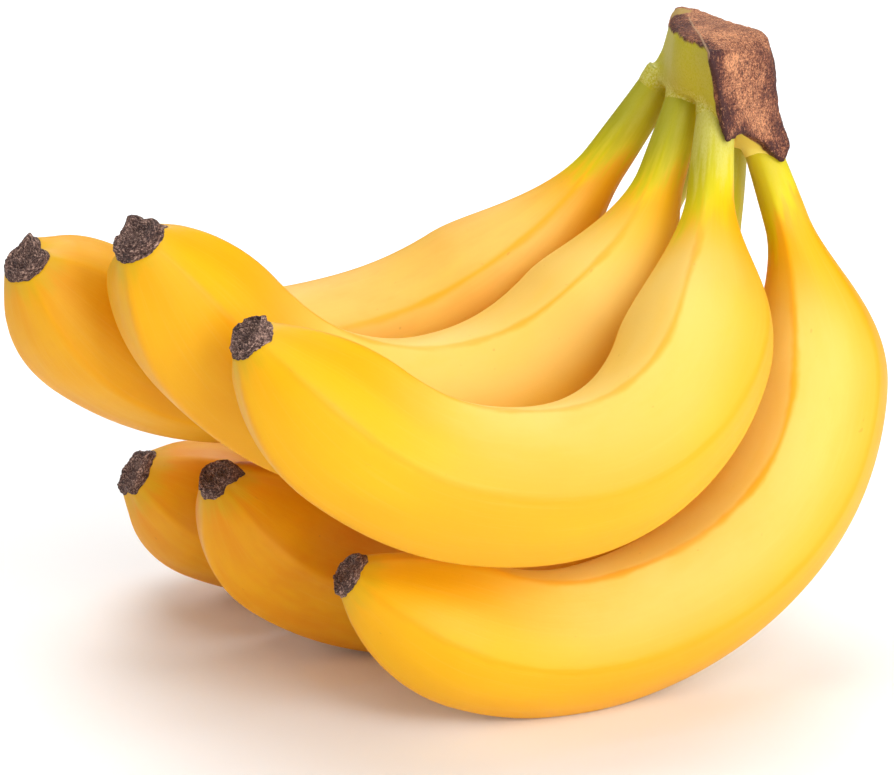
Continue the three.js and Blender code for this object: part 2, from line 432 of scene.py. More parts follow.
flowerEnd = {
    "sides": 180, "sideRings": 16, "faceRings": 34, "noiseGap": 13.7, "noiseRadius": 3,
    "hem": 2.9, "hemWobble": 0.4,  # where the dried end stops on the peel
    "overlap": 0.15, "leastSide": 1.3,  # mm past that edge, and from the end face to the rim at least
    "lift": 0.2, "sunkEdge": 0.35, "riseShare": 0.18,  # off the peel, with a rim under the peel's skin
    "faceGap": 0.05, "sideHeight": 3, "middleDepth": 1.5, "pullSpan": (9, 2),
    "girth": 0.96, "outline": 0.05, "outlineSize": 3.5, "crumble": 0.16, "crumbleSize": 1.3,
    "hollow": 0.7, "hollowSpan": (0.1, 0.85), "lipHeight": 0.35, "lipShare": 0.12,
    "layers": 0.16, "layerCount": 5.5,
    "lumps": 0.45, "lumpSize": 2.2, "lumpsOnSide": 0.5,
    "fibres": 0.2, "fibreStep": 0.35, "fibreTurn": 0.8, "roughRings": 8, "grainRadius": 4,
}


def bumpsRound(angles, bumps):
    # sum of smooth bumps, each with an angle and a width in degrees and its own size
    total = np.zeros_like(angles)
    for centre, size, width in bumps:
        offset = np.mod(angles - math.radians(centre) + math.pi, 2 * math.pi) - math.pi
        total += size * np.exp(-(offset / math.radians(width)) ** 2)
    return total


def noiseRound(angles, seed, size, layers=3):
    radius = flowerEnd["noiseRadius"]
    return np.array([roughNoise((math.cos(a) * radius, math.sin(a) * radius, seed), size, layers)
                     for a in angles])


def driedEdge(banana, angles):
    # mm from the flower end to the edge between the dried tissue and the peel
    wobble = noiseRound(angles, banana["seed"] * flowerEnd["noiseGap"], flowerEnd["crumbleSize"])
    return flowerEnd["hem"] + flowerEnd["hemWobble"] * wobble + bumpsRound(angles, banana["hems"])


def tipPull(banana, angles, place):
    # how far the peel and its dried end shrink inward where the end's outline is cut back
    return np.minimum(bumpsRound(angles, banana["horns"]), 0) * smoothStep(place, *flowerEnd["pullSpan"])


def makePeel(name, banana, line):
    length = line["length"]
    tipPlaces = np.arange(banana["end"] + peelSkin["start"], peelSkin["tipEnd"], peelSkin["tipStep"])
    bodyCount = int((length - peelSkin["tipEnd"]) / peelSkin["bodyStep"])
    places = np.concatenate([tipPlaces, np.linspace(peelSkin["tipEnd"], length, bodyCount)])
    angles = evenAngles(peelSkin["sides"])
    place, angle = np.meshgrid(places, angles, indexing="ij")
    radius = banana["radius"]
    around = np.stack([np.cos(angle) * radius, np.sin(angle) * radius, place], axis=-1)
    shift = banana["seed"] * peelSkin["noiseGap"]
    wave = [noise.noise(Vector((x, y, z / peelSkin["waveStretch"] + shift)) / peelSkin["waveSize"])
            for x, y, z in around.reshape(-1, 3)]
    wave = np.array(wave).reshape(place.shape)
    body = smoothStep(place, *peelSkin["waveFromTip"])
    body = body * smoothStep(length - place, *peelSkin["waveToStalk"])
    underEnd = smoothStep(driedEdge(banana, angles)[None] - place, *peelSkin["tuckSpan"])
    lift = peelSkin["wave"] * (wave - peelSkin["waveMean"]) * body - peelSkin["tuck"] * underEnd
    rings = skinPoints(banana, line, place, angle, lift + tipPull(banana, angle, place))
    piece = gridMesh(name.replace("banana", "peel"), rings, {
        "peelPlace": around, "fromTip": place, "toCrown": length - form["socketDepth"] - place,
        "offRidge": fromRidge(angle) * radius * girthShare(banana, place, length),
    })
    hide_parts(name)
    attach(piece, "root")
    return piece


lines = {name: bananaLine(banana) for name, banana in bananas.items()}
peels = {name: makePeel(name, banana, lines[name]) for name, banana in bananas.items()}
print("peels made:", len(peels))


# dried flower ends: a thin corky cap flush with each tip, with a rough, slightly sunken end face

def makeFlowerEnd(name, banana, line):
    cap = flowerEnd
    angles = evenAngles(cap["sides"])
    seed = banana["seed"] * cap["noiseGap"]
    rim = np.maximum(driedEdge(banana, angles) + cap["overlap"], banana["end"] + cap["leastSide"])
    outline = cap["girth"] + cap["outline"] * noiseRound(angles, seed, cap["outlineSize"], 2)
    endReach = banana["nub"] * outline + bumpsRound(angles, banana["horns"])
    endReach = endReach + cap["crumble"] * noiseRound(angles, seed, cap["crumbleSize"])
    rings, surface = [], []
    for step in range(cap["sideRings"]):  # from under the peel's edge to the end face
        share = step / (cap["sideRings"] - 1)
        place = rim * (1 - share) + (banana["end"] + cap["faceGap"]) * share
        onPeel = bareRadius(banana, np.maximum(place, form["nubBevel"]), line["length"])
        lift = -cap["sunkEdge"] + (cap["sunkEdge"] + cap["lift"]) * smoothStep(share, 0, cap["riseShare"])
        pulled = onPeel + lift + tipPull(banana, angles, place)
        reach = pulled * (1 - share ** 2) + endReach * share ** 2
        rings.append(aroundLine(banana, line, place, angles, reach))
        surface.append(banana["nub"] + (1 - share) * cap["sideHeight"])
    edge = rings[-1]
    centre = edge.mean(0)
    inward = alongLine(line, "forward", 0)
    for step in range(1, cap["faceRings"]):  # over the edge and into the end face
        share = step / cap["faceRings"]
        lip = cap["lipHeight"] * math.sin(min(share / cap["lipShare"], 1) * math.pi / 2)
        sunk = cap["hollow"] * smoothStep(share, *cap["hollowSpan"]) - lip
        layer = cap["layers"] * math.sin(share * cap["layerCount"] * 2 * math.pi)
        rings.append(edge * (1 - share) + centre * share + inward * (sunk + layer))
        surface.append(banana["nub"] * (1 - share))
    rings = np.array(rings)
    middle = alongLine(line, "points", banana["end"] + cap["middleDepth"])
    for ring in range(2, len(rings)):
        onFace = ring >= cap["sideRings"]
        near = min(1, ring / cap["roughRings"])
        for side in range(cap["sides"]):
            point = rings[ring, side]
            out = -inward if onFace else unit(point - middle)
            lump = roughNoise(point + seed, cap["lumpSize"]) * cap["lumps"]
            lump = lump * (1 if onFace else cap["lumpsOnSide"])
            fibrePlace = (surface[ring] / cap["fibreStep"], angles[side] * cap["fibreTurn"], seed)
            fibre = noise.noise(Vector(fibrePlace)) * cap["fibres"]
            rings[ring, side] = point + out * (lump + fibre) * near
    turned = np.stack([np.cos(angles), np.sin(angles)], axis=-1) * cap["grainRadius"]
    grainPlace = np.concatenate([
        np.repeat(np.array(surface)[:, None, None], cap["sides"], axis=1),
        np.repeat(turned[None], len(rings), axis=0)], axis=-1) + seed
    piece = gridMesh(name.replace("banana", "flower_end"), rings, {"driedPlace": grainPlace})
    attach(piece, "root")
    return piece


flowerEnds = [makeFlowerEnd(name, banana, lines[name]) for name, banana in bananas.items()]
print("flower ends made:", len(flowerEnds))


# the crown: a bent block that the stalks grow from, dried brown but for the flank over the upper stalks

crown = {
    "middle": (64, 33, 128), "heading": 34.5,
    "rings": [
        [(-15.5, -17.5, 22.5), (-7, -17.5, 21.5), (2.5, -17.5, 19.5), (4.5, -17.5, 12), (6, -18, 4),
         (9, -18.5, -3.5), (6.5, -19, -7.5), (0.5, -18.5, -1.5), (-6.5, -19.5, 2), (-12, -20.5, 1),
         (-12.4, -19, 8), (-13.5, -18, 16)],
        [(-13.5, -11, 23), (-5, -11, 25), (6, -11, 22.5), (9, -11, 15), (10, -11, 4), (12, -11, -4),
         (9, -11, -8), (1.5, -11, -5), (-3, -11, 0.5), (-8, -11, 5.5), (-12, -11, 9), (-13.4, -11, 16)],
        [(-11.5, 0, 22.5), (-4, 0, 24), (6, 0, 22.5), (9, 0, 14), (12, 0, 4), (13, 0, -4),
         (9.5, 0, -8), (2, 0, -6.5), (-1.5, 0, -1), (-6, 0, 5), (-12, 0, 9), (-13, 0, 15)],
        [(0.2, 17, 22), (2.4, 17.5, 23.5), (8, 17, 22), (12, 16, 13), (14, 16, 3), (13, 16, -5),
         (10, 16, -8), (5, 16, -6), (1, 16, -1), (-2, 16, 4), (-7, 16.5, 8), (-2.6, 17, 14)],
    ],
    "slices": 36, "around": 144, "tension": 0.22, "endRounding": 2.5, "endShrink": 0.3,
    "collar": 3, "collarGrow": 0.3, "collarSink": 0.6,  # its skin runs down each stalk, and then under it
    "collarRings": 18, "collarSides": 48,
    "voxel": 0.4, "smoothing": 1, "softening": 12,  # rounds, on the dried tissue and on the green skin
    "lip": 0.12, "lumps": 0.16, "lumpSize": 5, "lumpsOnGreen": 0.2,
    "fibres": 0.2, "fibreSize": 1, "fibreStretch": (1.1, 1.1, 3),
    "edgeReach": 14, "edgeRounds": 6,  # rounds of smoothing that find the dark edges
    "cutSpot": (0.6, 13.5, 23), "cutSpotStretch": (1, 1.2, 1), "cutSpotWobble": 5,
}

# lines on the crown: leftEdge and rightEdge of its front end give across at each up, crease of the
# flank gives up at each along, and corner and fold of the top give across at each along
crownLines = {
    "leftEdge": [(-9, -9), (1, -12), (8, -12.4), (16, -13.5), (22.5, -15.5)],
    "rightEdge": [(-5, 9.5), (4, 6), (12, 4.5), (19.5, 3.5), (23, 3)],
    "crease": [(-20, 3), (-11, 7), (0, 7), (16, 9)],
    "corner": [(-17.5, -15.5), (-11, -13.5), (0, -11.5), (17, 0.2)],
    "fold": [(-17.5, -15.5), (-11, -12.3), (0, -6.5), (9, -1.2)],
}

# each pair holds the place where a share on the crown is 0 and the place where it is 1
crownSpans = {
    "front": (-16.1, -16.7), "frontLow": (-9.5, -8.5), "top": (-0.3, 0.3),
    "back": (3.5, 4.5), "backLow": (-6, -4.5),
    # these spans place the pale yellow underside, which also paints light there
    "paintedLightUp": (6, 4), "paintedLightAcross": (-10, -8), "paintedLightAlong": (-2, -6),
    "paintedLightBehind": (-16.3, -15.5), "paintedLightLeft": (7, 5),
    "leftBand": (5.5, 1), "rightBand": (6.5, 2.5), "rightBandTop": (23, 17),
    "leftPointUp": (6, 2), "leftPointAcross": (-2, -6), "rightPoint": (0, -3.5), "frontPart": (-8, -12),
    "facet": (-0.1, 0.5), "facetUp": (17, 20), "bloomAcross": (-2, -5),
    "foldLow": (20, 18), "foldBehind": (7, 9),
}

# what else the shares on the crown are made with, in mm
crownEdges = {
    "wobble": 0.45, "wobbleSize": 3, "wobbleOnFront": 0.5,
    "flankTop": 22.5, "flankFall": 0.2, "flankTurn": 1, "flankLeast": 12,
    "cornerFall": 1.5, "cornerRoom": 1.5,
    "backLean": 0.15, "backMiddle": 8,
    "bandWobble": 1.6, "bandSize": 2, "bandStretch": (1.5, 1, 3), "facetDark": 0.8,
    "bloomAbove": 5, "bloomFull": 1, "bloomBelow": 3,
    "foldSlant": 0.8, "foldFar": 9,
}


def crownAxes():
    heading = math.radians(crown["heading"])
    across = np.array((math.cos(heading), math.sin(heading), 0))
    along = np.array((-math.sin(heading), math.cos(heading), 0))
    return np.array(crown["middle"], float), np.stack([across, along, (0, 0, 1)])


def crownRings():
    middle, axes = crownAxes()
    corners = [np.array(ring, float) @ axes + middle for ring in crown["rings"]]
    rings = []
    for level in range(crown["slices"] + 1):
        share = level / crown["slices"]
        outline = [catmullPoint([ring[corner] for ring in corners], share, False)
                   for corner in range(len(corners[0]))]
        rings.append([catmullPoint(outline, step / crown["around"], True, crown["tension"])
                      for step in range(crown["around"])])
    last = np.array(rings[-1])
    shrunk = last * (1 - crown["endShrink"]) + last.mean(0) * crown["endShrink"]
    rings.append(shrunk + axes[1] * crown["endRounding"])
    return np.array(rings)


def makeCollar(banana, line):
    # the crown's skin where it grows over the end of a stalk
    toCrown = np.linspace(-form["socketDepth"], crown["collar"], crown["collarRings"])
    places = line["length"] - form["socketDepth"] - toCrown
    place, angle = np.meshgrid(places, evenAngles(crown["collarSides"]), indexing="ij")
    fall = (crown["collarGrow"] + crown["collarSink"]) * smoothStep(toCrown, 0, crown["collar"])
    grow = np.repeat((crown["collarGrow"] - fall)[:, None], crown["collarSides"], axis=1)
    return gridMesh("collar", skinPoints(banana, line, place, angle, grow)[::-1], {})


def makeCrown():
    parts = [gridMesh("crown_block", crownRings(), {})]
    parts += [makeCollar(banana, lines[name]) for name, banana in bananas.items()]
    piece = pieceFrom("crown_dressed", joined("crown_dressed", parts))
    remesh = piece.modifiers.new("one skin", "REMESH")
    remesh.mode = "VOXEL"
    remesh.voxel_size = crown["voxel"] * mm
    graph = bpy.context.evaluated_depsgraph_get()
    skin = bpy.data.meshes.new_from_object(piece.evaluated_get(graph))
    piece.modifiers.clear()
    piece.data = skin
    skin.name = "crown_dressed"
    roughenCrown(skin)
    skin.polygons.foreach_set("use_smooth", [True] * len(skin.polygons))
    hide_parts("crown")
    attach(piece, "root")
    return piece


def joined(name, parts):
    # one mesh of several pieces, which are then removed
    points, faces = [], []
    for part in parts:
        start = len(points)
        points += [tuple(vertex.co) for vertex in part.data.vertices]
        faces += [tuple(start + index for index in polygon.vertices) for polygon in part.data.polygons]
        bpy.data.objects.remove(part)
    mesh = bpy.data.meshes.new(name)
    mesh.from_pydata(points, [], faces)
    return mesh


def vertexValues(mesh, key):
    values = np.zeros(len(mesh.vertices) * 3)
    mesh.vertices.foreach_get(key, values)
    return values.reshape(-1, 3)


def smoothed(mesh, values, rounds):
    # values of each point, averaged with its neighbours again and again
    edges = np.zeros(len(mesh.edges) * 2, int)
    mesh.edges.foreach_get("vertices", edges)
    edges = edges.reshape(-1, 2)
    count = np.bincount(edges.ravel(), minlength=len(values))[:, None]
    kept = 0.4
    for _ in range(rounds):
        total = np.stack([np.bincount(edges[:, 0], values[edges[:, 1], axis], len(values))
                          + np.bincount(edges[:, 1], values[edges[:, 0], axis], len(values))
                          for axis in range(values.shape[1])], axis=1)
        values = values * kept + total / count * (1 - kept)
    return values


def lineAt(key, places):
    known, values = zip(*crownLines[key])
    return np.interp(places, known, values)


def between(values, key):
    return smoothStep(values, *crownSpans[key])


def driedShare(local):
    # 1 where the crown has dried brown, 0 on the green flank and below, from across, along and up in mm
    across, along, up = local.T
    edge = crownEdges
    wobble = np.array([roughNoise(point, edge["wobbleSize"]) for point in local]) * edge["wobble"]
    front = between(along + wobble * edge["wobbleOnFront"], "front") * between(up + wobble, "frontLow")
    flankTop = edge["flankTop"] - edge["flankFall"] * np.maximum(0, along - edge["flankTurn"])
    pastCorner = across - lineAt("corner", along) - edge["cornerRoom"]
    flankTop = flankTop - edge["cornerFall"] * np.maximum(0, pastCorner)
    top = between(up + wobble - np.maximum(flankTop, edge["flankLeast"]), "top")
    leaning = across + wobble - edge["backLean"] * (up - edge["backMiddle"])
    back = between(leaning, "back") * between(up + wobble, "backLow")
    # the pale yellow underside, partly painted light, is kept free of the dried back
    yellowAndPaintedLightUnderside = yellowAndPaintedLightShare(local) * between(along, "paintedLightBehind") * between(across, "paintedLightLeft")
    return np.maximum.reduce([front, top, back * (1 - yellowAndPaintedLightUnderside)])


def darkShare(local):
    # 1 in the purple-brown bands down both sides of the front end and on its two points
    across, along, up = local.T
    edge = crownEdges
    wobble = np.array([roughNoise(point, edge["bandSize"]) for point in local / edge["bandStretch"]])
    wobble = wobble * edge["bandWobble"]
    leftBand = between(across - lineAt("leftEdge", up) + wobble, "leftBand")
    rightBand = between(lineAt("rightEdge", up) - across + wobble, "rightBand") * between(up, "rightBandTop")
    leftPoint = between(up + wobble, "leftPointUp") * between(across, "leftPointAcross")
    bands = np.maximum.reduce([leftBand, rightBand, leftPoint, between(up + wobble, "rightPoint")])
    facet = between(lineAt("fold", along) - across, "facet") * between(up, "facetUp") * edge["facetDark"]
    return np.maximum(bands * between(along, "frontPart"), facet)


def creaseBloom(local):
    # 1 near the flank's lower crease, where the skin has a pale bloom
    across, along, up = local.T
    crease = lineAt("crease", along)
    above = smoothStep(up, crease + crownEdges["bloomAbove"], crease + crownEdges["bloomFull"])
    below = smoothStep(up, crease - crownEdges["bloomBelow"], crease)
    return above * below * between(across, "bloomAcross")


def yellowAndPaintedLightShare(local):
    # 1 on the yellow underside between the two dried points, whose pale colour is partly its own and partly
    # painted light
    across, along, up = local.T
    return between(up, "paintedLightUp") * between(across, "paintedLightAcross") * between(along, "paintedLightAlong")


def foldDistance(local):
    # mm to the crease on the top, which ends at the cut spot
    across, along, up = local.T
    beside = np.abs(across - lineAt("fold", along)) * crownEdges["foldSlant"]
    return (beside + between(up, "foldLow") * crownEdges["foldFar"]
            + between(along, "foldBehind") * crownEdges["foldFar"])


def roughenCrown(mesh):
    middle, axes = crownAxes()
    flat = vertexValues(mesh, "co") / mm
    points = smoothed(mesh, flat, crown["smoothing"])
    greenSkin = 1 - driedShare((flat - middle) @ axes.T)[:, None]
    points += (smoothed(mesh, flat, crown["softening"]) - points) * greenSkin
    broad = smoothed(mesh, flat, crown["edgeReach"])
    mesh.vertices.foreach_set("co", (points * mm).ravel())
    mesh.update()
    normals = vertexValues(mesh, "normal")
    local = (points - middle) @ axes.T
    dried = driedShare(local)
    height = ((flat - broad) * normals).sum(1, keepdims=True)
    edge = smoothed(mesh, height, crown["edgeRounds"])[:, 0]
    lumps = np.array([roughNoise(point, crown["lumpSize"]) for point in local]) * crown["lumps"]
    fibres = np.array([roughNoise(point, crown["fibreSize"]) for point in local / crown["fibreStretch"]])
    rough = crown["lip"] + lumps + fibres * crown["fibres"]
    points += normals * (dried * rough + (1 - dried) * lumps * crown["lumpsOnGreen"])[:, None]
    mesh.vertices.foreach_set("co", (points * mm).ravel())
    mesh.update()
    spot = np.linalg.norm((local - np.array(crown["cutSpot"])) / crown["cutSpotStretch"], axis=1)
    facts = {
        "driedPlace": local, "dried": dried, "dark": darkShare(local), "bloom": creaseBloom(local),
        "yellowAndPaintedLight": yellowAndPaintedLightShare(local), "edge": edge, "fold": foldDistance(local),
        "cutSpot": spot + lumps * crown["cutSpotWobble"],
    }
    for factName, values in facts.items():
        storeFact(mesh, factName, values)


crownPiece = makeCrown()
print("crown made:", len(crownPiece.data.vertices), "points")


# finishes

peelColours = {
    # The third colour below is the peel's paler tone and also a painted highlight; the fourth is a deeper
    # orange for painted shade and for the tip's own tone.
    "gold": srgb(239, 173, 0), "golden": srgb(242, 184, 0), "paleAndHighlight": srgb(247, 208, 104),
    "shadeAndTipOrange": srgb(230, 142, 0), "ridge": srgb(240, 168, 0), "leafGreen": srgb(148, 148, 0),
    "lime": srgb(226, 206, 0), "bloom": srgb(216, 212, 130), "tipTan": srgb(204, 170, 20),
    "speck": srgb(150, 92, 30),
}

driedColours = {
    "crownDark": srgb(66, 36, 36), "crownMiddle": srgb(134, 80, 60), "crownLight": srgb(222, 156, 112),
    "nubDark": srgb(30, 20, 20), "nubMiddle": srgb(84, 58, 52), "nubLight": srgb(198, 162, 144),
    # the last colour is the underside's pale yellow, partly its own colour and partly painted light
    "cut": srgb(184, 152, 84), "fold": srgb(196, 160, 124), "yellowAndPaintedLightUnderside": srgb(255, 240, 120),
}


# in these looks a noise has its grain in mm, its layers and its roughness, a span holds the two values
# that something fades between, and shares are what the fade starts and ends with
peelLook = {
    "mottle": ((22, 22, 60), 2, 0.5), "blotch": ((7, 7, 16), 3, 0.55), "fibre": ((0.9, 0.9, 26), 3, 0.6),
    "pores": ((0.45, 0.45, 0.7), 2, 0.5), "specks": ((1.6, 1.6, 2.2), 1, 0.4),
    "noiseSpan": (0.3, 0.7), "goldenSpan": (0.36, 0.66),
    "paleFromTip": (15, 80), "paleToCrown": (24, 50), "paleBlotch": (0.8, 1.05),
    # how the painted highlight fades from the inner curve, which faces up, to the outer curve
    "highlightFacing": (-0.7, 0.8), "highlightShares": (0.1, 1.0),
    # the painted shade's deeper orange blotches, and the orange towards the tip, which is partly the tip's
    # own tone and partly painted shade
    "paintedShadeShares": (0.4, 0.75), "tipToneAndShadeSpan": (60, 8), "tipToneAndShade": 0.1,
    "fibreSpan": (0.5, 0.8), "fibrePale": 0.1,
    "ridgeWobble": (-0.3, 0.5), "ridgeSpan": (1.7, 0.3),
    "ridgeMottle": (0.3, 0.6), "ridgeShares": (0.35, 0.8),
    "reachSpan": (0.25, 0.75), "reachWobble": (-5, 5), "reachTowards": 9.0,
    "limeSpan": (0, 0.45), "leafSpan": (0.1, 0.75), "leafFacing": (-1.0, 0.8), "leafShares": (0.35, 1.15),
    "bloomWobble": (-7, 7), "bloomSpan": (24, 4), "bloomPores": (0.3, 0.6), "bloomShares": (0.4, 1),
    "tanWobble": (-1.2, 1.2), "tanSpan": (8, 3), "tan": 0.5,
    "speckSpan": (0.78, 0.84), "speck": 0.2,
    "roughSpan": (0.2, 0.8), "roughness": (0.42, 0.56), "fibreRelief": 0.6, "poreRelief": 0.4,
    "relief": 0.05,
    "shader": {"Specular IOR Level": 0.28, "Subsurface Weight": 0.06, "Subsurface Scale": 0.004,
               "Subsurface Radius": (1.0, 0.5, 0.1)},
}

driedLook = {
    "patches": ((5, 5, 6), 3, 0.6), "fibre": (4, 0.65), "crumbs": ((0.42, 0.42, 0.5), 4, 0.8),
    "noiseMiddle": 0.5, "patchShare": 0.75, "crumbShare": 2.8,
    "middleSpan": (0.0, 0.5), "lightSpan": (0.4, 0.95), "gapSpan": (0.47, 0.3), "gapShares": (0.0, 0.8),
    "fleckSpan": (0.56, 0.68), "roughSpan": (0.3, 0.7), "roughness": (0.65, 0.9),
    "fibreRelief": 0.6, "crumbRelief": 0.4, "shader": {"Specular IOR Level": 0.35},
}


def tint(group, colour, name, share):
    return blend(group, share, colour, peelColours[name])


def buildPeelGroup():
    # colour, roughness and fine relief of a ripe peel with a green stalk; its colour also carries a painted
    # highlight on the inner curve and painted shade in deeper orange blotches
    group, given, made = shaderGroup("ripe peel", [
        ("Place", "Vector", None), ("From Tip", "Float", 60.0), ("To Crown", "Float", 90.0),
        ("Off Ridge", "Float", 9.0), ("Green", "Float", 0.6), ("Green Reach", "Float", 30.0),
        ("Green Side", "Vector", None), ("Highlight Side", "Vector", None), ("Bloom", "Float", 0.5),
        ("Painted Shade", "Float", 0.4),
    ], [("Colour", "Color"), ("Roughness", "Float"), ("Height", "Float")])
    look = peelLook
    place, fromTip, toCrown = given["Place"], given["From Tip"], given["To Crown"]
    mottle, blotch, fibre, pores = (grain(group, place, *look[key])
                                    for key in ("mottle", "blotch", "fibre", "pores"))

    def blotched(key):
        return fade(group, blotch, *look["noiseSpan"], *look[key])

    golden = fade(group, mottle, *look["goldenSpan"])
    colour = blend(group, golden, peelColours["gold"], peelColours["golden"])
    # the ripe body's own paler middle, plus a painted highlight that is strongest on the inner curve, which
    # faces up
    fromTipShare = fade(group, fromTip, *look["paleFromTip"])
    ripeBody = times(group, fromTipShare, fade(group, toCrown, *look["paleToCrown"]))
    paleAndHighlightShare = times(group, ripeBody, blotched("paleBlotch"))
    highlightSide = facing(group, place, given["Highlight Side"])
    highlightSide = fade(group, highlightSide, *look["highlightFacing"], *look["highlightShares"])
    paleAndHighlightShare = times(group, paleAndHighlightShare, highlightSide, clamp=True)
    colour = tint(group, colour, "paleAndHighlight", paleAndHighlightShare)
    # painted shade: deeper orange blotches, as much as each banana's painted shade number gives
    paintedShadeShare = times(group, blotched("paintedShadeShares"), given["Painted Shade"])
    colour = tint(group, colour, "shadeAndTipOrange", paintedShadeShare)
    # deeper orange towards the tip: partly the tip's own tone, partly painted shade
    tipToneAndShade = times(group, fade(group, fromTip, *look["tipToneAndShadeSpan"]), look["tipToneAndShade"])
    colour = tint(group, colour, "shadeAndTipOrange", tipToneAndShade)
    fibreShare = times(group, fade(group, fibre, *look["fibreSpan"]), look["fibrePale"])
    colour = tint(group, colour, "paleAndHighlight", fibreShare)
    ridge = fade(group, plus(group, given["Off Ridge"], blotched("ridgeWobble")), *look["ridgeSpan"])
    ridgeMottle = fade(group, mottle, *look["ridgeMottle"], *look["ridgeShares"])
    colour = tint(group, colour, "ridge", times(group, ridge, ridgeMottle))
    towards = facing(group, place, given["Green Side"])
    reachWobble = fade(group, blotch, *look["reachSpan"], *look["reachWobble"])
    reach = plus(group, given["Green Reach"], reachWobble)
    reach = plus(group, reach, times(group, towards, look["reachTowards"]))
    closeness = calc(group, "SUBTRACT", 1.0, calc(group, "DIVIDE", toCrown, reach), clamp=True)
    colour = tint(group, colour, "lime", fade(group, closeness, *look["limeSpan"]))
    leafy = times(group, fade(group, closeness, *look["leafSpan"]), given["Green"])
    leafSide = fade(group, towards, *look["leafFacing"], *look["leafShares"])
    leafy = times(group, leafy, leafSide, clamp=True)
    colour = tint(group, colour, "leafGreen", leafy)
    bloomPlace = plus(group, toCrown, blotched("bloomWobble"))
    nearCrown = fade(group, bloomPlace, *look["bloomSpan"])
    powder = times(group, nearCrown, fade(group, pores, *look["bloomPores"], *look["bloomShares"]))
    colour = tint(group, colour, "bloom", times(group, powder, given["Bloom"]))
    tanPlace = plus(group, fromTip, blotched("tanWobble"))
    tan = times(group, fade(group, tanPlace, *look["tanSpan"]), look["tan"])
    colour = tint(group, colour, "tipTan", tan)
    specks = fade(group, grain(group, place, *look["specks"]), *look["speckSpan"])
    colour = tint(group, colour, "speck", times(group, specks, look["speck"]))
    feed(group, made["Colour"], colour)
    feed(group, made["Roughness"], fade(group, blotch, *look["roughSpan"], *look["roughness"]))
    fibreRelief = times(group, fibre, look["fibreRelief"])
    poreRelief = times(group, pores, look["poreRelief"])
    feed(group, made["Height"], plus(group, fibreRelief, poreRelief))
    return group


def buildDriedGroup():
    # fibrous, crumbly dried tissue with light flecks
    group, given, made = shaderGroup("dried tissue", [
        ("Place", "Vector", None), ("Stretch", "Vector", (0.7, 0.7, 2.0)),
        ("Dark", "Color", None), ("Middle", "Color", None), ("Light", "Color", None),
        ("Lightness", "Float", 0.5), ("Flecks", "Float", 0.5),
    ], [("Colour", "Color"), ("Roughness", "Float"), ("Height", "Float")])
    look = driedLook
    place = given["Place"]
    patches = grain(group, place, *look["patches"])
    fibre = grain(group, place, given["Stretch"], *look["fibre"])
    crumbs = grain(group, place, *look["crumbs"])
    light = given["Lightness"]
    for grains, share in ((patches, look["patchShare"]), (crumbs, look["crumbShare"])):
        offMiddle = calc(group, "SUBTRACT", grains, look["noiseMiddle"])
        light = plus(group, times(group, offMiddle, share), light)
    colour = blend(group, fade(group, light, *look["middleSpan"]), given["Dark"], given["Middle"])
    colour = blend(group, fade(group, light, *look["lightSpan"]), colour, given["Light"])
    gaps = fade(group, fibre, *look["gapSpan"], *look["gapShares"])
    colour = blend(group, gaps, colour, given["Dark"])
    flecks = times(group, fade(group, fibre, *look["fleckSpan"]), given["Flecks"])
    colour = blend(group, flecks, colour, given["Light"])
    feed(group, made["Colour"], colour)
    feed(group, made["Roughness"], fade(group, fibre, *look["roughSpan"], *look["roughness"]))
    fibreRelief = times(group, fibre, look["fibreRelief"])
    crumbRelief = times(group, crumbs, look["crumbRelief"])
    feed(group, made["Height"], plus(group, fibreRelief, crumbRelief))
    return group


peelGroup = buildPeelGroup()
driedGroup = buildDriedGroup()


def newMaterial(name, settings):
    material = bpy.data.materials.new(name)
    material.use_nodes = True
    tree = material.node_tree
    shader = next(node for node in tree.nodes if node.type == "BSDF_PRINCIPLED")
    for key, value in settings.items():
        shader.inputs[key].default_value = value
    return material, tree, shader


def dressShader(tree, shader, colour, roughness, height, relief):
    # relief is the depth of the bumps in mm
    feed(tree, shader.inputs["Base Color"], colour)
    feed(tree, shader.inputs["Roughness"], roughness)
    bump = addNode(tree, "Bump")
    bump.inputs["Distance"].default_value = relief * mm
    feed(tree, bump.inputs["Height"], height)
    feed(tree, shader.inputs["Normal"], bump.outputs[0])


def peelMaterial(name, banana):
    material, tree, shader = newMaterial(name, peelLook["shader"])
    # the second direction is the inner curve, which faces up and gets the painted highlight
    greenSide, highlightSide = [(math.cos(turn) / banana["radius"], math.sin(turn) / banana["radius"], 0)
                           for turn in (math.radians(banana["greenSide"]), -math.radians(banana["roll"]))]
    look = useGroup(tree, peelGroup, **{
        "Place": fact(tree, "peelPlace", "Vector"), "From Tip": fact(tree, "fromTip"),
        "To Crown": fact(tree, "toCrown"), "Off Ridge": fact(tree, "offRidge"),
        "Green": banana["green"], "Green Reach": banana["greenReach"],
        "Green Side": greenSide, "Highlight Side": highlightSide,
        "Bloom": banana["bloom"], "Painted Shade": banana["paintedShade"],
    })
    dressShader(tree, shader, look["Colour"], look["Roughness"], look["Height"], peelLook["relief"])
    return material


flowerEndLook = {"stretch": (0.7, 1.1, 1.1), "lightness": 0.42, "flecks": 0.75, "relief": 0.35}


def flowerEndMaterial():
    material, tree, shader = newMaterial("corky flower end", driedLook["shader"])
    look = useGroup(tree, driedGroup, Place=fact(tree, "driedPlace", "Vector"),
                    Stretch=flowerEndLook["stretch"], Dark=driedColours["nubDark"],
                    Middle=driedColours["nubMiddle"], Light=driedColours["nubLight"],
                    Lightness=flowerEndLook["lightness"], Flecks=flowerEndLook["flecks"])
    dressShader(tree, shader, look["Colour"], look["Roughness"], look["Height"], flowerEndLook["relief"])
    return material


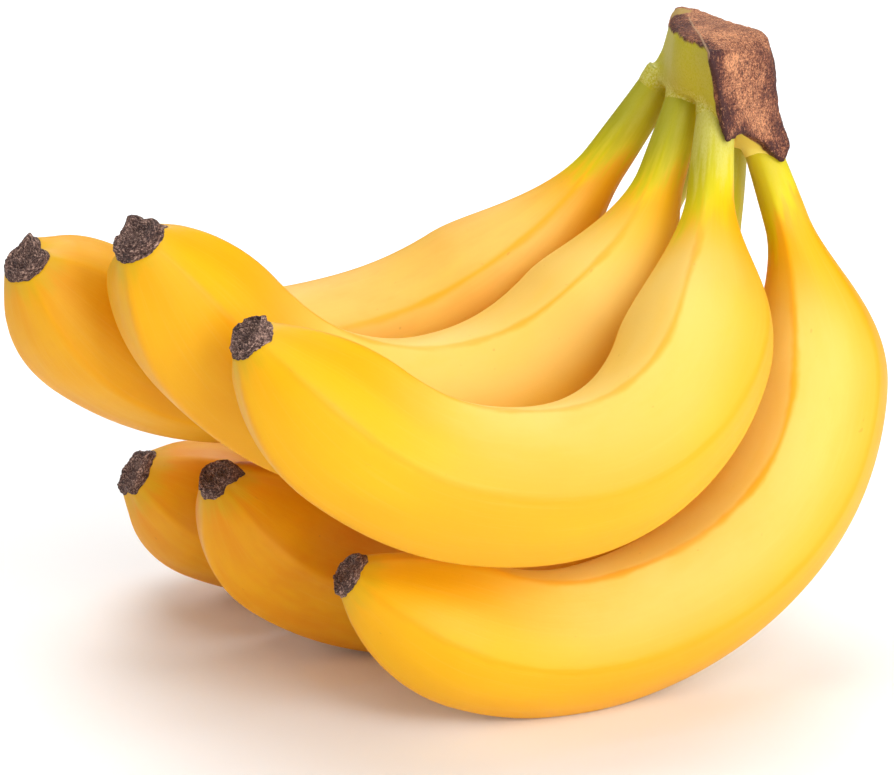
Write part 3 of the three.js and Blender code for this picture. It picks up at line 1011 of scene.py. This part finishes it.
crownLook = {
    "broad": ((7, 7, 9), 2, 0.5), "dots": ((0.5, 0.5, 0.5), 3, 0.7),
    "edgeSpan": (0.05, 0.25), "edgeDark": 0.35, "bandDark": 0.45,
    "broadSpan": (0.3, 0.7), "lightness": (0.52, 0.74), "stretch": (0.6, 0.6, 1.3), "flecks": 0.55,
    "dotSpan": (0.4, 0.62), "dotShares": (0.12, 0.7), "greenDotSpan": (0.42, 0.3), "greenDots": (0.0, 0.5),
    "cutSpan": (2.9, 2.3), "foldSpan": (0.3, 0.1), "foldShares": (0.0, 0.6),
    "dotRelief": 0.2, "relief": 0.5,
    "fresh": {  # the green skin, as a peel that is all stalk
        "From Tip": 100.0, "To Crown": 5.0, "Off Ridge": 9.0, "Green": 0.75, "Green Reach": 34.0,
        # the green skin also gets a little painted shade, in deeper orange blotches
        "Green Side": (0, 0, 0), "Highlight Side": (0, 0, 0), "Painted Shade": 0.2, "Bloom": 0.0,
    },
}


def crownMaterial():
    look = crownLook
    material, tree, shader = newMaterial("dried crown", driedLook["shader"])
    place = fact(tree, "driedPlace", "Vector")
    broad = grain(tree, place, *look["broad"])
    edgeDark = times(tree, fade(tree, fact(tree, "edge"), *look["edgeSpan"]), look["edgeDark"])
    bandDark = times(tree, fact(tree, "dark"), look["bandDark"])
    darkness = plus(tree, edgeDark, bandDark)
    broadLight = fade(tree, broad, *look["broadSpan"], *look["lightness"])
    lightness = calc(tree, "SUBTRACT", broadLight, darkness)
    dry = useGroup(tree, driedGroup, Place=place, Stretch=look["stretch"], Dark=driedColours["crownDark"],
                   Middle=driedColours["crownMiddle"], Light=driedColours["crownLight"],
                   Lightness=lightness, Flecks=look["flecks"])
    fresh = useGroup(tree, peelGroup, Place=place, **look["fresh"])
    dots = grain(tree, place, *look["dots"])
    dotted = fade(tree, dots, *look["dotSpan"])
    dotShare = times(tree, dotted, fade(tree, fact(tree, "bloom"), 0, 1, *look["dotShares"]))
    skin = blend(tree, dotShare, fresh["Colour"], peelColours["bloom"])
    greenDots = fade(tree, dots, *look["greenDotSpan"], *look["greenDots"])
    skin = blend(tree, greenDots, skin, peelColours["leafGreen"])
    # pale yellow underside: partly its own colour, partly painted light
    skin = blend(tree, fact(tree, "yellowAndPaintedLight"), skin, driedColours["yellowAndPaintedLightUnderside"])
    dried = fact(tree, "dried")
    cutShare = fade(tree, fact(tree, "cutSpot"), *look["cutSpan"])
    brown = blend(tree, cutShare, dry["Colour"], driedColours["cut"])
    foldShare = fade(tree, fact(tree, "fold"), *look["foldSpan"], *look["foldShares"])
    brown = blend(tree, foldShare, brown, driedColours["fold"])
    colour = blend(tree, dried, skin, brown)
    roughness = blend(tree, dried, fresh["Roughness"], dry["Roughness"], "FLOAT")
    dryHeight = times(tree, dry["Height"], dried)
    height = plus(tree, dryHeight, times(tree, dots, look["dotRelief"]))
    dressShader(tree, shader, colour, roughness, height, look["relief"])
    return material


for name, peel in peels.items():
    peel.data.materials.append(peelMaterial("peel of " + name, bananas[name]))
corky = flowerEndMaterial()
for piece in flowerEnds:
    piece.data.materials.append(corky)
crownPiece.data.materials.append(crownMaterial())
print("finishes made")


# pale floor and soft studio light

studio = {
    "floorSize": 40,
    "floor": {"Base Color": (0.95, 0.95, 0.95, 1), "Roughness": 0.9, "Specular IOR Level": 0.1,
              "Emission Color": (0.9, 0.96, 1, 1)},
    "floorGlow": [(0.05, 0.13, 0.12), (0.13, 0.3, 0.15)],  # from and to in m, and how much
    "worldColour": (1, 1, 1, 1), "ambient": 0.05,
    "lampSize": 0.9, "aim": (0, 0, 0.06),
    "lamps": {  # place in m, and power
        "key": ((0.8, -1.05, 0.6), 11),
        "high": ((0.6, -0.9, 1.1), 7),
        "right": ((1.4, 0, 0.6), 2.7),
        "left": ((-1.3, -0.1, 0.6), 5),
        "top": ((-0.1, 0.2, 1.3), 9.5),
        "back": ((0, 1.5, 1.1), 9),
        "front": ((0.2, -1.5, 0.2), 6.5),
    },
}


def makeFloor():
    half = studio["floorSize"] / 2
    corners = [(-half, -half, 0), (half, -half, 0), (half, half, 0), (-half, half, 0)]
    mesh = bpy.data.meshes.new("floor")
    mesh.from_pydata(corners, [], [(0, 1, 2, 3)])
    floor = bpy.data.objects.new("floor", mesh)
    bpy.context.scene.collection.objects.link(floor)
    material, tree, shader = newMaterial("pale floor", studio["floor"])
    # only the camera sees the glow that turns the floor white far from the bunch
    place = addNode(tree, "VectorMath", operation="LENGTH")
    feed(tree, place.inputs[0], addNode(tree, "NewGeometry").outputs["Position"])
    glow = [fade(tree, place.outputs["Value"], near, far, 0.0, share)
            for near, far, share in studio["floorGlow"]]
    seen = addNode(tree, "LightPath").outputs["Is Camera Ray"]
    feed(tree, shader.inputs["Emission Strength"], times(tree, plus(tree, *glow), seen))
    mesh.materials.append(material)


def makeLight(name, place, power):
    light = bpy.data.lights.new(name, "AREA")
    light.shape = "SQUARE"
    light.size = studio["lampSize"]
    light.energy = power
    lamp = bpy.data.objects.new(name, light)
    lamp.location = place
    aim = Vector(studio["aim"]) - lamp.location
    lamp.rotation_euler = aim.to_track_quat("-Z", "Y").to_euler()
    bpy.context.scene.collection.objects.link(lamp)


def makeWorld():
    # white to the camera, and a weak light from all round to everything else
    world = bpy.data.worlds.new("studio")
    bpy.context.scene.world = world
    world.use_nodes = True
    tree = world.node_tree
    background = next(node for node in tree.nodes if node.type == "BACKGROUND")
    background.inputs["Color"].default_value = studio["worldColour"]
    seen = addNode(tree, "LightPath").outputs["Is Camera Ray"]
    feed(tree, background.inputs["Strength"], fade(tree, seen, 0, 1, studio["ambient"], 1))


makeFloor()
for lampName, (place, power) in studio["lamps"].items():
    makeLight(lampName, place, power)
makeWorld()
bpy.context.scene.view_settings.view_transform = "Standard"
print("studio made")
